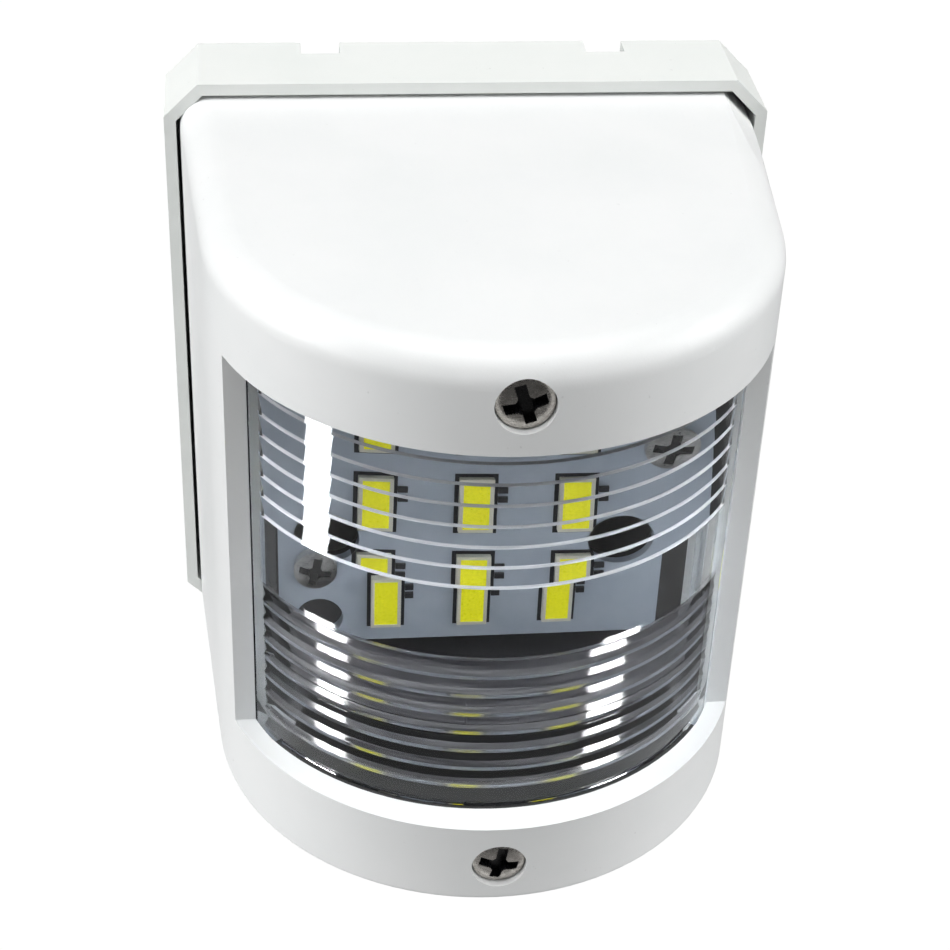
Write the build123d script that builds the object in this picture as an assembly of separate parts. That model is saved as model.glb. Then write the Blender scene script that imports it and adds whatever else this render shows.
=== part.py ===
"""Vertical-mount LED stern navigation light for a small boat.

Frame: millimetres, +Z up, +X to the right of somebody looking at the lens.
The origin is the centre of the back face, so the wall is the plane y = 0
and the light shines towards -Y.
"""
from build123d import *
import math
import os

os.makedirs("parts", exist_ok=True)

# ---------------------------------------------------------------- driving sizes
HOOD_WIDTH = 64.0        # front housing where it enters the base
HOOD_HEIGHT = 68.5
HOOD_WALL = 2.1
NOSE_RADIUS = 29.7       # round front of the housing, seen from above
NOSE_CENTRE_Y = -36.5
BASE_DEPTH = 11.1        # how far the base tray stands off the wall
BASE_WALL = 1.3
BASE_FLOOR = 2.2
BASE_GAP = 0.45          # shadow gap between the base and the housing
WINDOW_HEIGHT = 47.6
JAMB_Y = -47.2           # plane where the window sides are cut off
TOP_CHAMFER = 3.3        # flat on the two upper corners beside the base
TOP_ROUND = 3.4
BOTTOM_ROUND = 0.8
CORNER_CHAMFER = 3.6
LENS_CENTRE_Y = -34.0
LENS_RADIUS = 28.5
LENS_THICKNESS = 2.6
LENS_HALF_HEIGHT = 25.0
RING_PITCH = 2.5
RING_COUNT = 8           # prism rings above and below the plain centre band
RING_SLOPE = 20.0        # lean of every prism face, in degrees off the lens axis
SEAL_ANGLE = 54.0
BOARD_FRONT_Y = -32.1
BOARD_THICKNESS = 1.6
BOARD_HALF_WIDTH = 22.7
BOARD_BOTTOM_Z = -24.4
BOARD_TOP_Z = 18.3
BOARD_CENTRE_Z = (BOARD_BOTTOM_Z + BOARD_TOP_Z) / 2
BOARD_CORNER = 1.2
LED_COLUMN_PITCH = 10.1
LED_ROW_PITCH = 10.3
LED_COLUMNS = 3
LED_ROWS = 4
LED_WIDTH = 3.5
LED_LENGTH = 7.0
LED_HEIGHT = 0.9
LED_RIM = 0.4            # wall of the white cup round the phosphor
LED_RECESS = 0.05        # phosphor surface below the rim
COVER_SCREW_Z = 29.2
COVER_HEAD_RADIUS = 2.8
WALL_HOLE_X = 14.75
WALL_HOLE_Z = BOARD_CENTRE_Z
WALL_HOLE_RADIUS = 1.7
WALL_HEAD_RADIUS = 3.1
ACCESS_RADIUS = 3.2      # holes in the board that let the wall screws through
CABLE_HOLE_Z = 14.0
CABLE_HOLE_RADIUS = 4.5

# ---------------------------------------------------------------- derived sizes
HOOD_TOP = HOOD_HEIGHT / 2
BASE_HALF_WIDTH = HOOD_WIDTH / 2 + BASE_GAP + BASE_WALL
BASE_HALF_HEIGHT = HOOD_TOP + BASE_GAP + BASE_WALL
SEAL_THICKNESS = 1.2
SKIRT_BACK_Y = -(BASE_FLOOR + SEAL_THICKNESS)
NOSE_Y = NOSE_CENTRE_Y - NOSE_RADIUS
WINDOW_TOP = WINDOW_HEIGHT / 2
LENS_FRONT_Y = LENS_CENTRE_Y - LENS_RADIUS
LENS_INNER_RADIUS = LENS_RADIUS - LENS_THICKNESS
LENS_SEAL_GAP = 0.45
BOARD_BACK_Y = BOARD_FRONT_Y + BOARD_THICKNESS
CARRIER_PLATE = 2.0
CARRIER_BACK_Y = BOARD_BACK_Y + CARRIER_PLATE
SHELF_INNER_Z = LENS_HALF_HEIGHT + 0.7
SHELF_THICKNESS = 1.5
LEG_BACK_Y = -43.0       # back ends of the two straight legs of the lens
CHEEK_BACK_Y = -34.0     # back ends of the white cheeks that flank the board
CHEEK_INNER_X = 25.5
CHEEK_HALF_HEIGHT = LENS_HALF_HEIGHT + 0.3
POST_FRONT_Y = -59.9
COVER_BOSS_BACK_Y = -60.2
COUNTERBORE_FLOOR_Y = -63.1
ORING_THICKNESS = 0.9
FOOT_X = 22.0
FOOT_Z = 21.5
FOOT_BOSS = 3.0
WINDOW_HOLE = (16.0, 8.0)      # opening in the carrier plate behind the board
WINDOW_HOLE_Z = 12.6
BOARD_SCREWS = [(-18.3, -13.3), (19.0, 9.0)]
SPARE_HOLE = (-17.9, -21.0)
SPARE_HOLE_RADIUS = 2.8
REACH = 40.0             # longer than anything in the part: size of cutting tools


# ---------------------------------------------------------------- small helpers
def box(x_range, y_range, z_range):
    """Box between two limits on each axis."""
    size = [abs(b - a) for a, b in (x_range, y_range, z_range)]
    centre = [(a + b) / 2 for a, b in (x_range, y_range, z_range)]
    return Pos(*centre) * Box(*size)


def rod(x, z, radius, y_from, y_to):
    """Cylinder along Y."""
    length = abs(y_to - y_from)
    return Pos(x, (y_from + y_to) / 2, z) * Rot(90, 0, 0) * Cylinder(radius, length)


def cone(x, z, radius_front, radius_back, y_front, y_back):
    """Cone frustum along Y; the front is the -Y end."""
    length = abs(y_back - y_front)
    middle = Pos(x, (y_front + y_back) / 2, z)
    return middle * Rot(90, 0, 0) * Cone(radius_back, radius_front, length)


def ring(x, z, outer, inner, y_from, y_to):
    """Tube along Y."""
    return rod(x, z, outer, y_from, y_to) - rod(x, z, inner, y_from - 1, y_to + 1)


def frame_plate(half_x, half_z, chamfer_top, chamfer_bottom, y_from, y_to):
    """Rectangular plate with its four corners cut off at 45 degrees."""
    plate = box((-half_x, half_x), (y_from, y_to), (-half_z, half_z))
    for side in (-1, 1):
        for level, cut in ((1, chamfer_top), (-1, chamfer_bottom)):
            corner = Pos(side * half_x, (y_from + y_to) / 2, level * half_z)
            width = cut * math.sqrt(2)
            plate -= corner * Rot(0, 45, 0) * Box(width, abs(y_to - y_from) + 1, width)
    return plate


def side_angle():
    """Angle of the tapering housing side, from its tangent to the round nose."""
    dx = HOOD_WIDTH / 2
    dy = -BASE_DEPTH - NOSE_CENTRE_Y
    return math.atan2(dy, dx) - math.acos(NOSE_RADIUS / math.hypot(dx, dy))


def hood_outline(inset, y_back):
    """Plan of the housing, moved inwards by inset and open to y_back."""
    angle = side_angle()
    normal = Vector(math.cos(angle), math.sin(angle))
    tangent = Vector(0, NOSE_CENTRE_Y) + normal * (NOSE_RADIUS - inset)
    mouth_x = HOOD_WIDTH / 2 - inset
    edge_x = HOOD_WIDTH / 2 - inset * normal.X
    edge_y = -BASE_DEPTH - inset * normal.Y
    slope = (tangent.X - edge_x) / (tangent.Y - edge_y)
    kink = Vector(mouth_x, edge_y + (mouth_x - edge_x) / slope)
    nose = Vector(0, NOSE_CENTRE_Y - NOSE_RADIUS + inset)
    mirror_x = [Vector(-p.X, p.Y) for p in (tangent, kink)]
    edges = [
        Line((-mouth_x, y_back), (mouth_x, y_back)),
        Line((mouth_x, y_back), kink),
        Line(kink, tangent),
        ThreePointArc(tangent, nose, mirror_x[0]),
        Line(mirror_x[0], mirror_x[1]),
        Line(mirror_x[1], (-mouth_x, y_back)),
    ]
    return make_face(edges)


def hood_block(inset, y_back, z_from, z_to):
    """The housing plan pulled up between two heights."""
    return Pos(0, 0, z_from) * extrude(hood_outline(inset, y_back), z_to - z_from)


def lens_disc(radius, z_from, z_to):
    """Upright cylinder about the axis of the lens curve."""
    height = z_to - z_from
    return Pos(0, LENS_CENTRE_Y, (z_from + z_to) / 2) * Cylinder(radius, height)


def phillips_screw(x, z, head_radius, head_height, shank_radius, length, y_seat, turn):
    """Domed pan-head screw, head towards -Y, with a cross recess turned by turn degrees."""
    y_top = y_seat - head_height
    edge_y = y_top + head_radius * 0.23
    middle = (head_radius * 0.52, y_top + head_radius * 0.06)
    profile = [
        ThreePointArc((0, y_top), middle, (head_radius, edge_y)),
        Polyline((head_radius, edge_y), (head_radius, y_seat), (0, y_seat), (0, y_top)),
    ]
    head = Pos(x, 0, z) * revolve(make_face(profile), Axis.Y, 360)
    shank = rod(x, z, shank_radius, y_seat - 0.1, y_seat + length)
    tip_end = y_seat + length + 0.7
    tip = cone(x, z, shank_radius, shank_radius * 0.55, y_seat + length, tip_end)
    arm = head_radius * 1.5
    slot = head_radius * 0.4
    hub = head_radius * 0.72
    depth = head_height * 0.7
    recess = Box(arm, 2 * depth, slot) + Box(slot, 2 * depth, arm)
    recess += Rot(0, 45, 0) * Box(hub, 2 * depth, hub)
    head -= Pos(x, y_top, z) * Rot(0, turn, 0) * recess
    return head + shank + tip


def save(shape, name):
    """Write one sub-part."""
    export_step(shape, "parts/" + name + ".step")


def save_group(solids, name):
    """Write several separate solids as one sub-part."""
    save(Compound(children=list(solids)), name)


# ---------------------------------------------------------------- mounting base
def mounting_base():
    """Shallow tray that is screwed to the wall; the housing plugs into it."""
    chamfer = CORNER_CHAMFER + 0.2
    tray = frame_plate(BASE_HALF_WIDTH, BASE_HALF_HEIGHT, chamfer, chamfer, 0, -BASE_DEPTH)
    inner_x = BASE_HALF_WIDTH - BASE_WALL
    inner_z = BASE_HALF_HEIGHT - BASE_WALL
    tray -= frame_plate(inner_x, inner_z, 3.0, 3.2, -BASE_FLOOR, -BASE_DEPTH - 1)
    for side in (-1, 1):
        notch_x = (side * 16.2 - 2.2, side * 16.2 + 2.2)
        tray -= box(notch_x, (1, -3.0), (inner_z - 0.2, BASE_HALF_HEIGHT + 1))
        hole = (side * WALL_HOLE_X, WALL_HOLE_Z)
        sink = (WALL_HEAD_RADIUS, WALL_HOLE_RADIUS, -BASE_FLOOR - 1.01, -1.8)
        tray += rod(*hole, WALL_HEAD_RADIUS + 1.5, -BASE_FLOOR + 0.5, -BASE_FLOOR - 1.0)
        tray -= rod(*hole, WALL_HOLE_RADIUS, 1, -6)
        tray -= cone(*hole, *sink)
        for level in (-1, 1):
            x, z = side * FOOT_X, level * FOOT_Z
            tray += rod(x, z, 4.0, -BASE_FLOOR + 0.5, -BASE_FLOOR - FOOT_BOSS)
            tray -= rod(x, z, 1.5, 1, -BASE_FLOOR - FOOT_BOSS - 1)
            tray -= rod(x, z, 3.1, 1, -2.3)
    tray -= rod(0, CABLE_HOLE_Z, CABLE_HOLE_RADIUS, 1, -4)
    return tray - wall_gasket()


def wall_gasket():
    """Rubber cord seal set flush into a groove round the back of the base."""
    outer = frame_plate(31.0, 33.2, 3.4, 3.4, 0, -1.0)
    return outer - frame_plate(28.4, 30.6, 2.6, 2.6, 0.5, -1.5)


def cable_grommet():
    """Rubber inlet for the supply cable, flanged on both sides of the floor."""
    body = rod(0, CABLE_HOLE_Z, CABLE_HOLE_RADIUS - 0.1, -0.05, -BASE_FLOOR)
    flange = rod(0, CABLE_HOLE_Z, 6.2, -BASE_FLOOR, -BASE_FLOOR - 1.6)
    nose = cone(0, CABLE_HOLE_Z, 3.6, 4.6, -BASE_FLOOR - 5.0, -BASE_FLOOR - 1.6)
    return body + flange + nose - rod(0, CABLE_HOLE_Z, 2.75, 1, -9)


def body_seal():
    """Flat rubber frame that the housing skirt presses against the base floor."""
    half_x = HOOD_WIDTH / 2
    half_z = HOOD_TOP
    outer = frame_plate(half_x, half_z, 3.2, CORNER_CHAMFER, -BASE_FLOOR, SKIRT_BACK_Y)
    inner = frame_plate(half_x - 2.4, half_z - 2.4, 2.4, 2.6, -BASE_FLOOR + 1, SKIRT_BACK_Y - 1)
    return outer - inner


# ---------------------------------------------------------------- lamp carrier
def lamp_carrier():
    """Black inner frame: plate behind the board, two shelves, screw posts, feet."""
    clear = HOOD_WALL + 0.5
    half_z = SHELF_INNER_Z + SHELF_THICKNESS
    carrier = hood_block(clear, SKIRT_BACK_Y, -half_z, half_z)
    carrier &= box((-REACH, REACH), (BOARD_BACK_Y, CARRIER_BACK_Y), (-REACH, REACH))
    for level in (-1, 1):
        z_inner = level * SHELF_INNER_Z
        z_outer = level * (SHELF_INNER_Z + SHELF_THICKNESS)
        z_low, z_high = sorted((z_inner, z_outer))
        shelf = hood_block(clear, SKIRT_BACK_Y, z_low, z_high)
        behind = box((-REACH, REACH), (JAMB_Y, 0), (-REACH, REACH))
        shelf &= lens_disc(LENS_RADIUS - 0.1, -REACH, REACH) + behind
        shelf &= box((-REACH, REACH), (POST_FRONT_Y, CARRIER_BACK_Y), (-REACH, REACH))
        post_z = sorted((level * (SHELF_INNER_Z + 0.5), level * (COVER_SCREW_Z + 2.6)))
        post = box((-3.5, 3.5), (POST_FRONT_Y, CARRIER_BACK_Y), post_z)
        lug_z = sorted((level * (SHELF_INNER_Z + 0.5), level * (WINDOW_TOP - 0.4)))
        lug = box((-3.2, 3.2), (-59.0, -56.6), lug_z)
        carrier += shelf + post + lug
        carrier -= rod(0, level * COVER_SCREW_Z, 2.0, POST_FRONT_Y - 1, POST_FRONT_Y + 9)
    for side in (-1, 1):
        for level in (-1, 1):
            foot_end = -BASE_FLOOR - FOOT_BOSS
            foot = rod(side * FOOT_X, level * FOOT_Z, 3.2, CARRIER_BACK_Y - 0.5, foot_end)
            carrier += foot - rod(side * FOOT_X, level * FOOT_Z, 1.1, foot_end + 1, -16)
        carrier -= rod(side * WALL_HOLE_X, WALL_HOLE_Z, ACCESS_RADIUS + 0.3, -20, -REACH)
    for x, z in BOARD_SCREWS:
        carrier += rod(x, z, 2.6, CARRIER_BACK_Y - 0.5, CARRIER_BACK_Y + 4.5)
        carrier -= rod(x, z, 1.0, BOARD_BACK_Y - 1, CARRIER_BACK_Y + 4.0)
    hole_x = WINDOW_HOLE[0] / 2
    hole_z = WINDOW_HOLE[1] / 2
    hole_levels = (WINDOW_HOLE_Z - hole_z, WINDOW_HOLE_Z + hole_z)
    return carrier - box((-hole_x, hole_x), (-20, -REACH), hole_levels)


def carrier_screws():
    """Four self-tapping screws from the back of the base into the carrier feet."""
    screws = []
    for side in (-1, 1):
        for level in (-1, 1):
            x, z = side * FOOT_X, level * FOOT_Z
            screw = phillips_screw(0, 0, 2.7, 1.5, 1.05, 8.5, 0, 10 * level + 25 * side)
            screws.append(Pos(x, -2.3, z) * Rot(0, 0, 180) * screw)
    return screws


def threaded_inserts():
    """Two brass M3 inserts pressed into the ends of the screw posts."""
    y_range = (POST_FRONT_Y + 0.2, POST_FRONT_Y + 5.4)
    return [ring(0, level * COVER_SCREW_Z, 2.0, 1.5, *y_range) for level in (-1, 1)]


# ---------------------------------------------------------------- light source
def led_board():
    """White board with access holes for the wall screws and two fixing holes."""
    x_range = (-BOARD_HALF_WIDTH, BOARD_HALF_WIDTH)
    board = box(x_range, (BOARD_FRONT_Y, BOARD_BACK_Y), (BOARD_BOTTOM_Z, BOARD_TOP_Z))
    board = fillet(board.edges().filter_by(Axis.Y), BOARD_CORNER)
    for side in (-1, 1):
        board -= rod(side * WALL_HOLE_X, WALL_HOLE_Z, ACCESS_RADIUS, -REACH, -20)
    for x, z in BOARD_SCREWS:
        board -= rod(x, z, 1.3, -REACH, -20)
    return board - rod(*SPARE_HOLE, SPARE_HOLE_RADIUS, -REACH, -20)


def led_places():
    """Centre of every light-emitting diode, as (x, z)."""
    places = []
    for column in range(LED_COLUMNS):
        for row in range(LED_ROWS):
            x = (column - (LED_COLUMNS - 1) / 2) * LED_COLUMN_PITCH
            z = BOARD_CENTRE_Z + (row - (LED_ROWS - 1) / 2) * LED_ROW_PITCH
            places.append((x, z))
    return places


def led_block(x, z, inset, y_range):
    """Upright block on the board, inset from the outline of one diode."""
    half_x = LED_WIDTH / 2 - inset
    half_z = LED_LENGTH / 2 - inset
    return box((x - half_x, x + half_x), y_range, (z - half_z, z + half_z))


def led_package(x, z):
    """Open white cup of one diode."""
    front = BOARD_FRONT_Y - LED_HEIGHT
    cup = led_block(x, z, 0, (BOARD_FRONT_Y, front))
    return cup - led_block(x, z, LED_RIM, (front + LED_HEIGHT / 2, front - 1))


def led_phosphor(x, z):
    """Yellow phosphor filling of one diode."""
    front = BOARD_FRONT_Y - LED_HEIGHT
    return led_block(x, z, LED_RIM, (front + LED_HEIGHT / 2, front + LED_RECESS))


def board_resistors(x, z):
    """Two chip resistors, one above the other, beside one diode."""
    left = x + LED_WIDTH / 2 + 0.45
    y_range = (BOARD_FRONT_Y, BOARD_FRONT_Y - 0.4)
    return [box((left, left + 1.0), y_range, (low, low + 0.7)) for low in (z + 0.3, z + 1.5)]


def protection_diode():
    """Reverse-polarity diode on the back of the board."""
    y_range = (BOARD_BACK_Y, BOARD_BACK_Y + 2.0)
    return box((-2.1, 2.1), y_range, (WINDOW_HOLE_Z - 3.8, WINDOW_HOLE_Z - 1.3))


def board_screws():
    """Two pan-head screws that hold the board on the carrier."""
    size = (2.5, 1.7, 0.98, 5.5)
    return [phillips_screw(x, z, *size, BOARD_FRONT_Y, 12) for x, z in BOARD_SCREWS]


# ---------------------------------------------------------------- supply side
BLOCK_HALF_WIDTH = 5.5
BLOCK_Y = (CARRIER_BACK_Y, CARRIER_BACK_Y + 9.0)
BLOCK_Z = (-5.0, 4.0)
POLE_X = 2.6


def terminal_block():
    """Two-pole screw terminal on the back of the carrier."""
    block = box((-BLOCK_HALF_WIDTH, BLOCK_HALF_WIDTH), BLOCK_Y, BLOCK_Z)
    for side in (-1, 1):
        block -= rod(side * POLE_X, -0.5, 1.75, BLOCK_Y[1] - 8.0, BLOCK_Y[1] + 1)
        wire_way = Pos(side * POLE_X, BLOCK_Y[1] - 6.2, 0) * Cylinder(1.2, 20)
        block -= wire_way
    return block


def terminal_clamps():
    """Brass clamp sleeves inside the terminal block."""
    clamps = []
    for side in (-1, 1):
        sleeve = rod(side * POLE_X, -0.5, 1.7, BLOCK_Y[1] - 7.9, BLOCK_Y[1] - 3.0)
        sleeve -= Pos(side * POLE_X, BLOCK_Y[1] - 6.2, 0) * Cylinder(1.15, 20)
        sleeve -= rod(side * POLE_X, -0.5, 1.1, BLOCK_Y[1] - 5.0, BLOCK_Y[1])
        clamps.append(sleeve)
    return clamps


def terminal_screws():
    """Slotted clamp screws of the terminal block."""
    screws = []
    for side in (-1, 1):
        x = side * POLE_X
        screw = rod(x, -0.5, 1.05, BLOCK_Y[1] - 4.9, BLOCK_Y[1] - 2.6)
        screw += rod(x, -0.5, 1.6, BLOCK_Y[1] - 2.9, BLOCK_Y[1] - 1.2)
        slot_y = (BLOCK_Y[1] - 1.9, BLOCK_Y[1])
        screw -= box((x - 2, x + 2), slot_y, (-0.75, -0.25))
        screws.append(screw)
    return screws


def lead_wire(side):
    """Insulated jumper from one clamp to the back of the board."""
    x = side * POLE_X
    y_start = BLOCK_Y[1] - 6.2
    y_end = BOARD_BACK_Y + 1.0
    route = Spline(
        (x, y_start, 1.4),
        (x, y_start, 8.0),
        (x, y_end, WINDOW_HOLE_Z),
        tangents=((0, 0, 1), (0, -1, 0)),
    )
    return sweep(Plane(origin=route @ 0, z_dir=route % 0) * Circle(0.75), path=route)


def solder_joints():
    """Solder cones where the two jumpers meet the board."""
    spread = (1.2, 0.6, BOARD_BACK_Y, BOARD_BACK_Y + 0.95)
    return [cone(side * POLE_X, WINDOW_HOLE_Z, *spread) for side in (-1, 1)]


# ---------------------------------------------------------------- front cover
def corner_cut(side, level, cut, length):
    """Prism that takes a 45 degree strip off one long corner of the housing."""
    width = cut * math.sqrt(2)
    corner = Pos(side * HOOD_WIDTH / 2, 0, level * HOOD_TOP)
    return corner * Rot(0, 45, 0) * Box(width, length, width)


def front_edges(shape, layer):
    """Edges of one flat end (0 the lowest, -1 the highest), without the rear edge."""
    rear = shape.bounding_box().max.Y
    return [e for e in shape.edges().group_by(Axis.Z)[layer] if e.center().Y < rear - 0.3]


def front_housing():
    """White hood with the lens window, cheeks beside it, skirt and screw bosses."""
    shell = hood_block(0, SKIRT_BACK_Y, -HOOD_TOP, HOOD_TOP)
    shell = fillet(front_edges(shell, -1), TOP_ROUND)
    shell = fillet(front_edges(shell, 0), BOTTOM_ROUND)
    for side in (-1, 1):
        shell -= corner_cut(side, 1, TOP_CHAMFER, 2 * abs(NOSE_Y))
        shell -= corner_cut(side, -1, CORNER_CHAMFER + 0.1, 2 * (BASE_DEPTH + 0.2))

    inner_top = HOOD_TOP - HOOD_WALL
    cavity = hood_block(HOOD_WALL, SKIRT_BACK_Y + 1, -inner_top, inner_top)
    cavity = chamfer(front_edges(cavity, -1), 2.0)
    bore = lens_disc(LENS_RADIUS + LENS_SEAL_GAP, -REACH, REACH)
    bore &= box((-REACH, REACH), (JAMB_Y, NOSE_Y - 1), (-REACH, REACH))
    bore += box((-REACH, REACH), (JAMB_Y, 5), (-REACH, REACH))
    for side in (-1, 1):
        cheek_x = (side * CHEEK_INNER_X, side * REACH)
        cheek_z = (-CHEEK_HALF_HEIGHT, CHEEK_HALF_HEIGHT)
        bore -= box(cheek_x, (JAMB_Y, CHEEK_BACK_Y), cheek_z)
    shell -= cavity & bore
    shell -= box((-REACH, REACH), (JAMB_Y, NOSE_Y - 1), (-WINDOW_TOP, WINDOW_TOP))

    for level in (-1, 1):
        z_range = sorted((level * (SHELF_INNER_Z + 0.2), level * (inner_top + 0.5)))
        boss = box((-5.0, 5.0), (COVER_BOSS_BACK_Y, COUNTERBORE_FLOOR_Y - 0.6), z_range)
        shell += boss
        pocket = COVER_HEAD_RADIUS + 0.14
        shell -= rod(0, level * COVER_SCREW_Z, pocket, NOSE_Y - 1, COUNTERBORE_FLOOR_Y)
        shell -= rod(0, level * COVER_SCREW_Z, 1.7, NOSE_Y - 1, COVER_BOSS_BACK_Y + 1)
    return shell


def lens_section():
    """Half section of the curved band: smooth outside, saw-tooth prisms inside."""
    centre_half = LENS_HALF_HEIGHT - 0.4 - RING_COUNT * RING_PITCH
    tooth = RING_PITCH * math.tan(math.radians(RING_SLOPE))
    upper = [(LENS_INNER_RADIUS, centre_half)]
    for index in range(RING_COUNT):
        low = centre_half + index * RING_PITCH
        upper.append((LENS_INNER_RADIUS + tooth, low))
        upper.append((LENS_INNER_RADIUS, low + RING_PITCH))
    upper.append((LENS_INNER_RADIUS, LENS_HALF_HEIGHT))
    lower = [(radius, -z) for radius, z in reversed(upper)]
    outside = [(LENS_RADIUS, LENS_HALF_HEIGHT), (LENS_RADIUS, -LENS_HALF_HEIGHT)]
    return make_face(Polyline(*lower, *upper, *outside, close=True))


def lens():
    """Clear lens: curved band with prism rings and a straight leg at each side."""
    edge_angle = math.degrees(math.acos((LENS_CENTRE_Y - JAMB_Y) / LENS_RADIUS))
    band = revolve(Plane.XZ * lens_section(), Axis.Z, 2 * edge_angle)
    band = Pos(0, LENS_CENTRE_Y, 0) * Rot(0, 0, -90 - edge_angle) * band
    leg_x = LENS_RADIUS * math.sin(math.radians(edge_angle)) - 0.05
    for side in (-1, 1):
        x_range = (side * leg_x, side * (leg_x - 2.3))
        band += box(x_range, (JAMB_Y, LEG_BACK_Y), (-LENS_HALF_HEIGHT, LENS_HALF_HEIGHT))
    return band


def lens_seal(level):
    """Black rubber strip round one curved edge of the lens, L-shaped in section."""
    rim = LENS_RADIUS + LENS_SEAL_GAP - 0.03
    inner = LENS_RADIUS + 0.03
    edge = LENS_HALF_HEIGHT
    lip = LENS_HALF_HEIGHT + 0.6
    outline = Polyline(
        (inner, WINDOW_TOP + 0.05),
        (rim, WINDOW_TOP + 0.05),
        (rim, lip),
        (LENS_INNER_RADIUS + 0.2, lip),
        (LENS_INNER_RADIUS + 0.2, edge),
        (inner, edge),
        close=True,
    )
    strip = revolve(Plane.XZ * make_face(outline), Axis.Z, 2 * SEAL_ANGLE)
    strip = Pos(0, LENS_CENTRE_Y, 0) * Rot(0, 0, -90 - SEAL_ANGLE) * strip
    return strip if level > 0 else mirror(strip, Plane.XY)


def cover_screw(level):
    """Stainless M3 pan-head screw that holds the cover."""
    turn = -17 if level > 0 else 12
    seat = COUNTERBORE_FLOOR_Y - ORING_THICKNESS
    size = (COVER_HEAD_RADIUS, 2.0, 1.45, 9.0)
    return phillips_screw(0, level * COVER_SCREW_Z, *size, seat, turn)


def screw_oring(level):
    """Rubber ring under the head of a cover screw."""
    seat = COUNTERBORE_FLOOR_Y
    return ring(0, level * COVER_SCREW_Z, 2.6, 1.5, seat, seat - ORING_THICKNESS)


# ---------------------------------------------------------------- write the parts
save(mounting_base(), "mounting_base")
save(wall_gasket(), "wall_gasket")
save(cable_grommet(), "cable_grommet")
save(body_seal(), "body_seal")
save(lamp_carrier(), "lamp_carrier")
save_group(carrier_screws(), "carrier_screws")
save_group(threaded_inserts(), "threaded_inserts")
save(led_board(), "led_board")
save_group([led_package(x, z) for x, z in led_places()], "led_packages")
save_group([led_phosphor(x, z) for x, z in led_places()], "led_phosphors")
save_group([chip for x, z in led_places() for chip in board_resistors(x, z)], "board_resistors")
save(protection_diode(), "protection_diode")
save_group(board_screws(), "board_screws")
save(terminal_block(), "terminal_block")
save_group(terminal_clamps(), "terminal_clamps")
save_group(terminal_screws(), "terminal_screws")
save(lead_wire(-1), "lead_wire_black")
save(lead_wire(1), "lead_wire_red")
save_group(solder_joints(), "solder_joints")
save(front_housing(), "front_housing")
save(lens(), "lens")
save(lens_seal(1), "lens_seal_upper")
save(lens_seal(-1), "lens_seal_lower")
save(cover_screw(1), "cover_screw_upper")
save(cover_screw(-1), "cover_screw_lower")
save(screw_oring(1), "screw_oring_upper")
save(screw_oring(-1), "screw_oring_lower")
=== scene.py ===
import math

import bmesh
import bpy
from mathutils import Matrix, Vector

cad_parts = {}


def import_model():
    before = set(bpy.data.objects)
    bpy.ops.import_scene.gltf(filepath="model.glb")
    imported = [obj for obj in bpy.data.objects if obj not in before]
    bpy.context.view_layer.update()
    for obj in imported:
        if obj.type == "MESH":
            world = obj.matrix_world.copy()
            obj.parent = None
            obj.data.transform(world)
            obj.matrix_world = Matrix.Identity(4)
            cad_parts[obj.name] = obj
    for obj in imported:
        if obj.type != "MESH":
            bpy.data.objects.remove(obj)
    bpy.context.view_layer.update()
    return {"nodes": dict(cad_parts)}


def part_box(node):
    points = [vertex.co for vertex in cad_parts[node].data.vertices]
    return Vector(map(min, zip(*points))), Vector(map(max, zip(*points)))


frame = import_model()
NODES = frame["nodes"]
MM = 0.001
LENS_AXIS_Y = -0.034  # upright axis of the round nose, in metres
PLASTIC_IOR = 1.5
LED_SIZE = (3.5, 7.0)  # width and height of a diode, in mm
LED_DARK_BAND = 0.45  # width of the dark band painted round a diode, in mm
COVER_SCREW_HEAD = 2.8  # radius of the head, in mm
BOARD_SCREW_HEAD = 2.5
SCREW_AXES = [(0, 29.2), (0, -29.2)]  # (x, z) of each axis, in mm
BOARD_SCREW_AXES = [(-18.3, -13.3), (19.0, 9.0)]
CLAMP_AXES = [(2.6, -0.5), (-2.6, -0.5)]
FOOT_AXES = [(22, 21.5), (-22, 21.5), (22, -21.5), (-22, -21.5)]
SOLDER_AXES = [(2.6, 12.6), (-2.6, 12.6)]


# ------------------------------------------------------------------ node helpers
def new_material(name):
    """Material with an empty node tree, an output and a Principled shader."""
    material = bpy.data.materials.new(name)
    material.use_nodes = True
    tree = material.node_tree
    tree.nodes.clear()
    output = tree.nodes.new("ShaderNodeOutputMaterial")
    shader = tree.nodes.new("ShaderNodeBsdfPrincipled")
    tree.links.new(shader.outputs["BSDF"], output.inputs["Surface"])
    return material, tree, shader, output


def position(tree, scale=(1, 1, 1), turn=(0, 0, 0)):
    """Object position in millimetres, then scaled and turned."""
    coord = tree.nodes.new("ShaderNodeTexCoord")
    mapping = tree.nodes.new("ShaderNodeMapping")
    mapping.inputs["Scale"].default_value = [1000 * s for s in scale]
    mapping.inputs["Rotation"].default_value = [math.radians(a) for a in turn]
    tree.links.new(coord.outputs["Object"], mapping.inputs["Vector"])
    return mapping.outputs["Vector"]


def noise(tree, vector, scale, detail=3.0, roughness=0.5):
    """Noise pattern, as a socket from 0 to 1. The scale is in patterns per mm."""
    node = tree.nodes.new("ShaderNodeTexNoise")
    node.inputs["Scale"].default_value = scale
    node.inputs["Detail"].default_value = detail
    node.inputs["Roughness"].default_value = roughness
    tree.links.new(vector, node.inputs["Vector"])
    return node.outputs["Fac"]


def ramp(tree, factor, stops):
    """Colour ramp through (place, colour) stops."""
    node = tree.nodes.new("ShaderNodeValToRGB")
    elements = node.color_ramp.elements
    while len(elements) < len(stops):
        elements.new(0.5)
    for element, (place, colour) in zip(elements, stops):
        element.position = place
        element.color = (*colour, 1)
    tree.links.new(factor, node.inputs["Fac"])
    return node.outputs["Color"]


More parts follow.
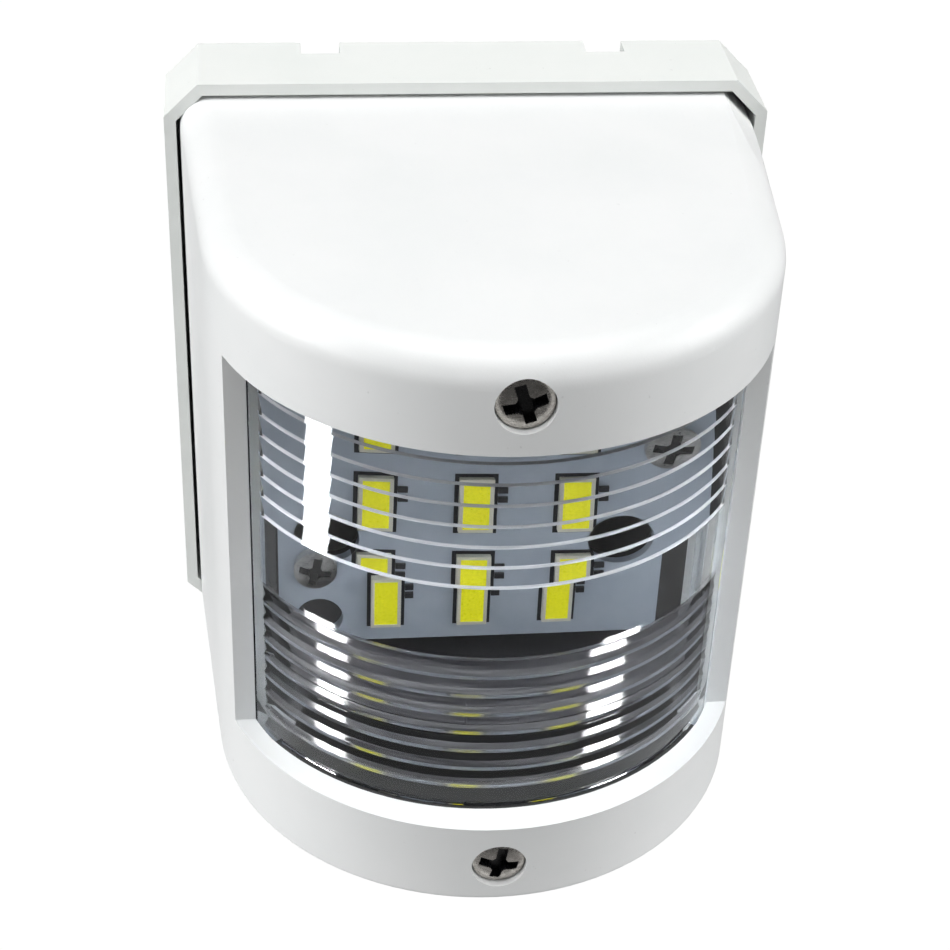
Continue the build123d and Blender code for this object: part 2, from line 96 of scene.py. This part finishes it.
def remap(tree, value, low, high, new_low, new_high):
    """Linear map of one value, clamped."""
    node = tree.nodes.new("ShaderNodeMapRange")
    limits = {"From Min": low, "From Max": high, "To Min": new_low, "To Max": new_high}
    for socket, number in limits.items():
        node.inputs[socket].default_value = number
    tree.links.new(value, node.inputs["Value"])
    return node.outputs["Result"]


def maths(tree, operation, first, second=None, third=None):
    """Math node on sockets or numbers."""
    node = tree.nodes.new("ShaderNodeMath")
    node.operation = operation
    for socket, value in zip(node.inputs, (first, second, third)):
        if value is None:
            continue
        if isinstance(value, (int, float)):
            socket.default_value = value
        else:
            tree.links.new(value, socket)
    return node.outputs["Value"]


def mix(tree, factor, first, second):
    """Colour mix; the colours are sockets or tuples."""
    node = tree.nodes.new("ShaderNodeMix")
    node.data_type = "RGBA"
    sockets = (node.inputs["Factor"], node.inputs[6], node.inputs[7])
    for socket, value in zip(sockets, (factor, first, second)):
        if isinstance(value, (int, float)):
            socket.default_value = value
        elif isinstance(value, tuple):
            socket.default_value = (*value, 1)
        else:
            tree.links.new(value, socket)
    return node.outputs[2]


def bump(tree, shader, height, distance_mm, strength=1.0):
    """Bump from a height socket."""
    node = tree.nodes.new("ShaderNodeBump")
    node.inputs["Strength"].default_value = strength
    node.inputs["Distance"].default_value = distance_mm * MM
    tree.links.new(height, node.inputs["Height"])
    tree.links.new(node.outputs["Normal"], shader.inputs["Normal"])


def axes_of(tree, vector):
    """The three coordinates of a vector."""
    node = tree.nodes.new("ShaderNodeSeparateXYZ")
    tree.links.new(vector, node.inputs["Vector"])
    return node.outputs["X"], node.outputs["Y"], node.outputs["Z"]


def squared_length(tree, first, second):
    """Sum of two squares."""
    squares = [maths(tree, "MULTIPLY", value, value) for value in (first, second)]
    return maths(tree, "ADD", *squares)


def from_lens_axis(tree, x, y):
    """Distance from the upright axis of the lens, in mm."""
    beside = maths(tree, "SUBTRACT", y, LENS_AXIS_Y / MM)
    return maths(tree, "SQRT", squared_length(tree, x, beside))


def set_roughness(tree, shader, pattern, low, high):
    """Roughness from low to high as a noise pattern goes from 0.3 to 0.7."""
    tree.links.new(remap(tree, pattern, 0.3, 0.7, low, high), shader.inputs["Roughness"])


def mix_shaders(tree, factor, first, second, output):
    """Blends two shaders into the output."""
    blend = tree.nodes.new("ShaderNodeMixShader")
    for socket, source in zip(blend.inputs, (factor, first, second)):
        tree.links.new(source, socket)
    tree.links.new(blend.outputs["Shader"], output.inputs["Surface"])


# ------------------------------------------------------------------ materials
def white_plastic(name, tone, shade, roughness):
    """Moulded white ABS: faint cloudiness, fine spark-eroded grain, a few specks."""
    material, tree, shader, _ = new_material(name)
    place = position(tree)
    cloud = noise(tree, place, 0.06, 4, 0.6)
    colour = ramp(tree, cloud, [(0.35, shade), (0.62, tone)])
    specks = ramp(tree, noise(tree, place, 1.4, 2, 0.4), [(0.76, (0, 0, 0)), (0.8, (1, 1, 1))])
    colour = mix(tree, specks, colour, tuple(0.86 * c for c in tone))
    tree.links.new(colour, shader.inputs["Base Color"])
    grain = noise(tree, place, 5.0, 2, 0.6)
    set_roughness(tree, shader, grain, roughness - 0.05, roughness + 0.06)
    bump(tree, shader, grain, 0.012, 0.6)
    shader.inputs["IOR"].default_value = PLASTIC_IOR
    return material


def dark_plastic(name, tone, shade, roughness, grain_scale=4.0):
    """Fine matt moulded plastic or rubber."""
    material, tree, shader, _ = new_material(name)
    place = position(tree)
    cloud = noise(tree, place, 0.3, 4, 0.6)
    colour = ramp(tree, cloud, [(0.35, shade), (0.65, tone)])
    tree.links.new(colour, shader.inputs["Base Color"])
    grain = noise(tree, place, grain_scale, 3, 0.6)
    set_roughness(tree, shader, grain, roughness - 0.07, roughness + 0.07)
    bump(tree, shader, grain, 0.02, 0.6)
    return material


def metal(name, tone, shade, roughness, centres, recess=None):
    """Turned metal: rings about the nearest axis, stains, scratches, painted shade in the cross
    recess.

    The recess is given as (front of the dome, radius of the head), in mm. What lies
    deeper than the dome, within 0.8 of the radius, is the recess, in painted shade.
    """
    material, tree, shader, _ = new_material(name)
    place = position(tree)
    x, y, z = axes_of(tree, place)
    square = None
    for cx, cz in centres:
        across = maths(tree, "SUBTRACT", x, cx)
        along = maths(tree, "SUBTRACT", z, cz)
        this = squared_length(tree, across, along)
        square = this if square is None else maths(tree, "MINIMUM", square, this)
    radius = maths(tree, "SQRT", square)
    rings = maths(tree, "SINE", maths(tree, "MULTIPLY", radius, 42.0))
    stain = noise(tree, place, 1.1, 5, 0.65)
    colour = ramp(tree, stain, [(0.35, shade), (0.6, tone)])
    shader.inputs["Metallic"].default_value = 1.0
    if recess:
        front, head = recess
        dome = maths(tree, "MULTIPLY_ADD", square, 0.23 / head, front + 0.09)
        deeper = maths(tree, "GREATER_THAN", y, dome)
        central = maths(tree, "LESS_THAN", radius, 0.8 * head)
        # painted shade: what lies in the recess is painted near black and not metallic
        recess_shade = maths(tree, "MULTIPLY", deeper, central)
        colour = mix(tree, recess_shade, colour, (0.006, 0.006, 0.007))
        tree.links.new(maths(tree, "SUBTRACT", 1.0, recess_shade), shader.inputs["Metallic"])
    tree.links.new(colour, shader.inputs["Base Color"])
    scratch = noise(tree, position(tree, (1.0, 1.0, 6.0), (0, 35, 0)), 2.5, 4, 0.7)
    set_roughness(tree, shader, scratch, roughness - 0.08, roughness + 0.12)
    height = maths(tree, "ADD", maths(tree, "MULTIPLY", rings, 0.3), scratch)
    bump(tree, shader, height, 0.01, 0.5)
    return material


def clear_lens(name):
    """Clear polycarbonate that lamps shine through; what is behind it is bent."""
    material, tree, shader, output = new_material(name)
    place = position(tree)
    cloud = noise(tree, place, 0.2, 3)
    colour = ramp(tree, cloud, [(0.3, (0.90, 0.92, 0.93)), (0.7, (0.95, 0.96, 0.97))])
    tree.links.new(colour, shader.inputs["Base Color"])
    shader.inputs["Transmission Weight"].default_value = 1.0
    shader.inputs["IOR"].default_value = PLASTIC_IOR
    set_roughness(tree, shader, noise(tree, place, 0.15, 2), 0.0, 0.012)
    lamps_pass(tree, shader, output)
    return material


def lamps_pass(tree, shader, output):
    """Lets the light of lamps through a clear surface."""
    through = tree.nodes.new("ShaderNodeBsdfTransparent")
    through.inputs["Color"].default_value = (0.80, 0.82, 0.84, 1)
    path = tree.nodes.new("ShaderNodeLightPath")
    shaders = (shader.outputs["BSDF"], through.outputs["BSDF"])
    mix_shaders(tree, path.outputs["Is Shadow Ray"], *shaders, output)


def moulded_step(name, tone, shade, clearness, roughness):
    """Flat step between two prism rings, streaked along the ring; the tone and shade given carry
    painted light.
    """
    material, tree, shader, output = new_material(name)
    x, y, z = axes_of(tree, position(tree))
    along = tree.nodes.new("ShaderNodeCombineXYZ")
    stretched = ((from_lens_axis(tree, x, y), 5.0), (x, 0.12), (z, 1.7))
    for socket, (value, scale) in zip(along.inputs, stretched):
        tree.links.new(maths(tree, "MULTIPLY", value, scale), socket)
    streak = noise(tree, along.outputs["Vector"], 1.0, 3, 0.6)
    colour = ramp(tree, streak, [(0.35, shade), (0.65, tone)])
    tree.links.new(colour, shader.inputs["Base Color"])
    set_roughness(tree, shader, streak, roughness, roughness + 0.1)
    shader.inputs["Transmission Weight"].default_value = clearness
    shader.inputs["IOR"].default_value = PLASTIC_IOR
    lamps_pass(tree, shader, output)
    return material


def paint_light_on_ring_steps(lens, upper, lower):
    """Gives the flat steps between the prism rings their own finish: a painted highlight on the
    upper steps and painted shade on the lower.
    """
    lens.data.materials.append(upper)
    lens.data.materials.append(lower)
    low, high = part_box("lens")
    for face in lens.data.polygons:
        inside = low[2] + MM < face.center.z < high[2] - MM
        if inside and abs(face.normal.z) > 0.98:
            face.material_index = 1 if face.center.z > 0 else 2


def nearest_line(tree, value, start, pitch):
    """Distance from a coordinate to the nearest of the lines start + n * pitch."""
    along = maths(tree, "SUBTRACT", value, start)
    number = maths(tree, "ROUND", maths(tree, "DIVIDE", along, pitch))
    line = maths(tree, "MULTIPLY", number, pitch)
    return maths(tree, "ABSOLUTE", maths(tree, "SUBTRACT", along, line))


def board_mask(name, tone, shade):
    """White solder mask with a dark band painted round every diode."""
    material, tree, shader, _ = new_material(name)
    place = position(tree)
    x, _, z = axes_of(tree, place)
    low, high = [[value / MM for value in corner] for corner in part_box("led_packages")]
    half_x, half_z = LED_SIZE[0] / 2, LED_SIZE[1] / 2
    across = nearest_line(tree, x, low[0] + half_x, (high[0] - low[0] - LED_SIZE[0]) / 2)
    along = nearest_line(tree, z, low[2] + half_z, (high[2] - low[2] - LED_SIZE[1]) / 3)
    limits = (
        (across, half_x + LED_DARK_BAND),
        (along, half_z + LED_DARK_BAND),
        (maths(tree, "ABSOLUTE", x), high[0] + 1),
    )
    tests = [maths(tree, "LESS_THAN", value, limit) for value, limit in limits]
    dark_band = maths(tree, "MULTIPLY", maths(tree, "MULTIPLY", *tests[:2]), tests[2])
    cloud = noise(tree, place, 0.25, 4, 0.6)
    colour = ramp(tree, cloud, [(0.35, shade), (0.65, tone)])
    # a near-black band is painted round every diode
    colour = mix(tree, dark_band, colour, (0.008, 0.008, 0.012))
    tree.links.new(colour, shader.inputs["Base Color"])
    grain = noise(tree, place, 2.5, 3, 0.6)
    set_roughness(tree, shader, grain, 0.3, 0.42)
    bump(tree, shader, grain, 0.01, 0.4)
    return material


def phosphor(name):
    """Yellow-green silicone with the phosphor grains showing, and a faint painted glow."""
    material, tree, shader, _ = new_material(name)
    place = position(tree)
    grain = noise(tree, place, 3.0, 3, 0.6)
    colour = ramp(tree, grain, [(0.3, (0.80, 0.80, 0.01)), (0.7, (0.95, 0.92, 0.02))])
    tree.links.new(colour, shader.inputs["Base Color"])
    set_roughness(tree, shader, grain, 0.25, 0.4)
    # painted glow: the phosphor gives off light though the diode is not lit
    shader.inputs["Emission Color"].default_value = (0.75, 0.7, 0.0, 1)
    shader.inputs["Emission Strength"].default_value = 0.3
    bump(tree, shader, grain, 0.02, 0.4)
    return material


def front_of(node_name):
    """Most forward point of a node along Y, in mm."""
    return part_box(node_name)[0][1] / MM


housing_white = white_plastic("housing_white", (0.80, 0.81, 0.81), (0.775, 0.79, 0.79), 0.38)
base_white = white_plastic("base_white", (0.79, 0.81, 0.79), (0.765, 0.79, 0.77), 0.42)
carrier_black = dark_plastic("carrier_black", (0.014, 0.014, 0.017), (0.009, 0.009, 0.011), 0.55)
rubber_black = dark_plastic("rubber_black", (0.022, 0.022, 0.022), (0.012, 0.012, 0.013), 0.65, 6.0)
# White solder mask darkened to grey-blue: part of the darkness is painted shade inside the housing.
board_white = board_mask("board_white", (0.50, 0.56, 0.64), (0.45, 0.51, 0.60))
led_cream = dark_plastic("led_cream", (0.84, 0.82, 0.70), (0.78, 0.76, 0.64), 0.4, 3.0)
led_yellow = phosphor("led_yellow")
chip_black = dark_plastic("chip_black", (0.03, 0.03, 0.035), (0.018, 0.018, 0.02), 0.45, 3.0)
terminal_green = dark_plastic(
    "terminal_green", (0.05, 0.28, 0.12), (0.035, 0.22, 0.09), 0.45, 3.0
)
wire_black = dark_plastic("wire_black", (0.02, 0.02, 0.02), (0.012, 0.012, 0.012), 0.45, 5.0)
wire_red = dark_plastic("wire_red", (0.55, 0.03, 0.02), (0.42, 0.02, 0.015), 0.45, 5.0)
steel = metal(
    "steel", (0.66, 0.63, 0.59), (0.5, 0.47, 0.44), 0.24, SCREW_AXES,
    (front_of("cover_screw_upper"), COVER_SCREW_HEAD),
)
board_steel = metal(
    "board_steel", (0.66, 0.65, 0.64), (0.5, 0.49, 0.48), 0.3, BOARD_SCREW_AXES,
    (front_of("board_screws"), BOARD_SCREW_HEAD),
)
clamp_steel = metal(
    "clamp_steel", (0.66, 0.65, 0.64), (0.5, 0.49, 0.48), 0.32, CLAMP_AXES
)
foot_steel = metal("foot_steel", (0.6, 0.58, 0.56), (0.44, 0.42, 0.40), 0.34, FOOT_AXES)
brass = metal("brass", (0.75, 0.58, 0.28), (0.6, 0.45, 0.2), 0.3, SCREW_AXES)
tin = metal("tin", (0.72, 0.72, 0.72), (0.6, 0.6, 0.6), 0.28, SOLDER_AXES)
lens_clear = clear_lens("lens_clear")
# Upper steps are painted white as a painted highlight; lower steps are painted dark grey with
# streaks as painted shade and painted reflection.
step_painted_highlight = moulded_step("step_painted_highlight", (0.72, 0.73, 0.75), (0.50, 0.51, 0.54), 0.0, 0.4)
step_painted_shade = moulded_step("step_painted_shade", (0.13, 0.13, 0.14), (0.01, 0.01, 0.013), 0.5, 0.02)

FINISHES = {
    "mounting_base": base_white,
    "wall_gasket": rubber_black,
    "cable_grommet": rubber_black,
    "body_seal": rubber_black,
    "lamp_carrier": carrier_black,
    "carrier_screws": foot_steel,
    "threaded_inserts": brass,
    "led_board": board_white,
    "led_packages": led_cream,
    "led_phosphors": led_yellow,
    "board_resistors": chip_black,
    "protection_diode": chip_black,
    "board_screws": board_steel,
    "terminal_block": terminal_green,
    "terminal_clamps": brass,
    "terminal_screws": clamp_steel,
    "lead_wire_black": wire_black,
    "lead_wire_red": wire_red,
    "solder_joints": tin,
    "front_housing": housing_white,
    "lens": lens_clear,
    "lens_seal_upper": rubber_black,
    "lens_seal_lower": rubber_black,
    "cover_screw_upper": steel,
    "cover_screw_lower": steel,
    "screw_oring_upper": rubber_black,
    "screw_oring_lower": rubber_black,
}
for node_name, finish in FINISHES.items():
    node = NODES[node_name]
    node.data.materials.clear()
    node.data.materials.append(finish)
paint_light_on_ring_steps(NODES["lens"], step_painted_highlight, step_painted_shade)


# ------------------------------------------------------------------ stage
FLOOR_HALF_WIDTH = 3.0  # in metres
FLOOR_SEEN = 1.02  # brightness of the floor to the camera
FLOOR_SPILL = 0.40  # extra glow that only diffuse surfaces receive
WORLD_STRENGTH = 0.08
CAMERA_PLACE = (-0.0243, -0.2266, 0.1346)
CAMERA_WAY = (0.1007, 0.8141, -0.5720)
CAMERA_ROLL = 2.52  # in degrees
CAMERA_LENS = 80.6
GLINT_LAYERS = 4  # the renderer limits the brightness of each reflected lamp
GLINT_LAYER_GAP = 0.02
LIGHT_DISTANCE = 0.6  # from the lens, in metres
# name, size, power, azimuth, elevation
BODY_LIGHTS = [
    ("left_body", (0.3, 0.4), 2.8, -86, 24),
    ("left_low", (0.2, 0.12), 0.45, -74, 10),
    ("right_body", (0.4, 0.4), 2.8, 78, 28),
    ("top_body", (0.5, 0.5), 2.4, 0, 85),
]
GLINT_LIGHTS = [
    ("left_glint", (0.13, 0.12), 0.65, -77, 24),
    ("left_high_glint", (0.16, 0.5), 3.4, -82, 55),
    ("right_glint", (0.18, 0.45), 3.4, 66, 50),
]

def floor():
    """Pale sheet under the light; near the lens it glows a little for reflections."""
    mesh = bpy.data.meshes.new("floor")
    form = bmesh.new()
    bmesh.ops.create_grid(form, x_segments=8, y_segments=8, size=FLOOR_HALF_WIDTH)
    form.to_mesh(mesh)
    form.free()
    sheet = bpy.data.objects.new("floor", mesh)
    sheet.location = (0, 0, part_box("mounting_base")[0][2] - 0.0002)
    bpy.context.scene.collection.objects.link(sheet)
    material, tree, shader, output = new_material("floor_white")
    place = position(tree)
    cloud = noise(tree, place, 0.002, 2)
    tone = ramp(tree, cloud, [(0.3, (0.06, 0.06, 0.06)), (0.7, (0.07, 0.07, 0.07))])
    tree.links.new(tone, shader.inputs["Base Color"])
    shader.inputs["Roughness"].default_value = 0.5
    shader.inputs["Emission Color"].default_value = (1, 1, 1, 1)
    glow = tree.nodes.new("ShaderNodeEmission")
    glow.inputs["Strength"].default_value = FLOOR_SEEN
    path = tree.nodes.new("ShaderNodeLightPath")
    x, y, _ = axes_of(tree, place)
    near = remap(tree, from_lens_axis(tree, x, y), 42.0, 58.0, 0.2, 0.02)
    spill = maths(tree, "MULTIPLY_ADD", path.outputs["Is Diffuse Ray"], FLOOR_SPILL, near)
    tree.links.new(spill, shader.inputs["Emission Strength"])
    shaders = (shader.outputs["BSDF"], glow.outputs["Emission"])
    mix_shaders(tree, path.outputs["Is Camera Ray"], *shaders, output)
    mesh.materials.append(material)


def soft_light(name, size, power, azimuth, elevation, glint=False, behind=0.0):
    """Soft box of size (width, height) aimed at the lens.

    The azimuth is 0 straight in front of the lens and grows to the right. A glint
    lights nothing by itself: it is only what the lens mirrors from within.
    """
    lamp = bpy.data.lights.new(name, "AREA")
    lamp.shape = "RECTANGLE"
    lamp.size, lamp.size_y = size
    lamp.energy = power
    holder = bpy.data.objects.new(name, lamp)
    turn, lift = math.radians(azimuth), math.radians(elevation)
    level = math.cos(lift)
    way = Vector((math.sin(turn) * level, -math.cos(turn) * level, math.sin(lift)))
    holder.visible_diffuse = not glint
    holder.visible_glossy = not glint
    holder.visible_transmission = glint
    holder.location = Vector((0, LENS_AXIS_Y, 0)) + (LIGHT_DISTANCE + behind) * way
    holder.rotation_euler = (-way).to_track_quat("-Z", "Y").to_euler()
    bpy.context.scene.collection.objects.link(holder)


def world():
    """Even white surroundings."""
    surroundings = bpy.data.worlds.new("studio")
    surroundings.use_nodes = True
    background = surroundings.node_tree.nodes["Background"]
    background.inputs["Color"].default_value = (1.0, 1.0, 1.0, 1)
    background.inputs["Strength"].default_value = WORLD_STRENGTH
    bpy.context.scene.world = surroundings


def camera():
    """Close view from the front, above and a little to the left."""
    view = Vector(CAMERA_WAY).normalized()
    level = view.cross(Vector((0, 0, 1))).normalized()
    upward = level.cross(view)
    roll = math.radians(CAMERA_ROLL)
    x_axis = level * math.cos(roll) + upward * math.sin(roll)
    y_axis = upward * math.cos(roll) - level * math.sin(roll)
    optics = bpy.data.cameras.new("camera")
    optics.lens = CAMERA_LENS
    optics.sensor_width = 36
    optics.clip_start = 0.01
    holder = bpy.data.objects.new("camera", optics)
    matrix = Matrix((x_axis, y_axis, -view)).transposed().to_4x4()
    matrix.translation = CAMERA_PLACE
    holder.matrix_world = matrix
    bpy.context.scene.collection.objects.link(holder)
    bpy.context.scene.camera = holder


floor()
world()
for row in BODY_LIGHTS:
    soft_light(*row)
for layer in range(GLINT_LAYERS):
    for name, *settings in GLINT_LIGHTS:
        soft_light(f"{name}_{layer}", *settings, True, GLINT_LAYER_GAP * layer)
camera()
bpy.context.scene.view_settings.view_transform = "Standard"
